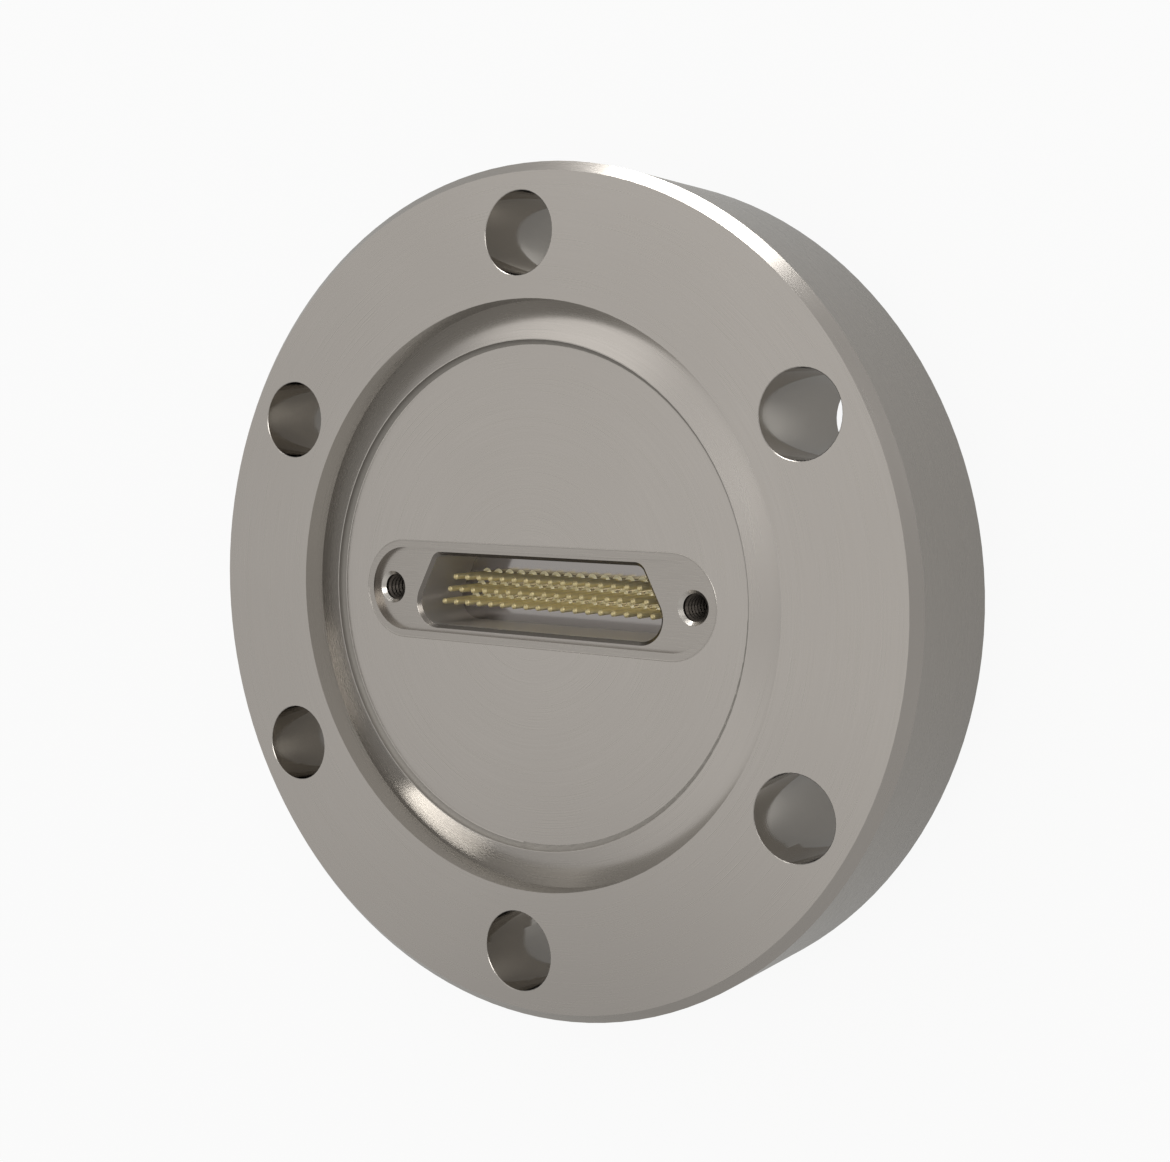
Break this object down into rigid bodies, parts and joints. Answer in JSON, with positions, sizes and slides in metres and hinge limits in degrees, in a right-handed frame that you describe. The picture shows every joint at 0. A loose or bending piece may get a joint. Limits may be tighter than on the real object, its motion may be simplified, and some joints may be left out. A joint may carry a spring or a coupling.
{
  "type": "vacuum feedthrough",
  "caption": "Round knife-edge vacuum flange with bolt holes and a welded oblong insert: a D-shaped hermetic connector with rows of fine gold pins on both sides.",
  "frame": {"origin": "centre of the end face of the air-side boss, the lowest face of the part as it lies", "axes": "+Z along the flange axis towards the knife edge and the vacuum side; X along the connector's rows; the wide end of the D towards -Y"},
  "size_m": [0.0698, 0.0698, 0.016],
  "materials": {
    "flange_steel": "turned and finely brushed stainless steel",
    "shell_steel": "machined stainless steel, polished cavity walls",
    "sealing_glass": "smooth opaque pale sealing glass, fused round each contact",
    "contact_gold": "gold plating on nickel-iron pins"
  },
  "bodies": {
    "root": {"flange": "flange_steel", "connector_shell": "shell_steel", "seals_row_1": "sealing_glass", "seals_row_2": "sealing_glass", "seals_row_3": "sealing_glass", "contact_01": "contact_gold", "contact_02": "contact_gold", "contact_03": "contact_gold", "contact_04": "contact_gold", "contact_05": "contact_gold", "contact_06": "contact_gold", "contact_07": "contact_gold", "contact_08": "contact_gold", "contact_09": "contact_gold", "contact_10": "contact_gold", "contact_11": "contact_gold", "contact_12": "contact_gold", "contact_13": "contact_gold", "contact_14": "contact_gold", "contact_15": "contact_gold", "contact_16": "contact_gold", "contact_17": "contact_gold", "contact_18": "contact_gold", "contact_19": "contact_gold", "contact_20": "contact_gold", "contact_21": "contact_gold", "contact_22": "contact_gold", "contact_23": "contact_gold", "contact_24": "contact_gold", "contact_25": "contact_gold", "contact_26": "contact_gold", "contact_27": "contact_gold", "contact_28": "contact_gold", "contact_29": "contact_gold", "contact_30": "contact_gold", "contact_31": "contact_gold", "contact_32": "contact_gold", "contact_33": "contact_gold", "contact_34": "contact_gold", "contact_35": "contact_gold", "contact_36": "contact_gold", "contact_37": "contact_gold", "contact_38": "contact_gold", "contact_39": "contact_gold", "contact_40": "contact_gold", "contact_41": "contact_gold", "contact_42": "contact_gold", "contact_43": "contact_gold", "contact_44": "contact_gold", "contact_45": "contact_gold", "contact_46": "contact_gold", "contact_47": "contact_gold", "contact_48": "contact_gold", "contact_49": "contact_gold", "contact_50": "contact_gold", "contact_51": "contact_gold"}
  },
  "joints": []
}
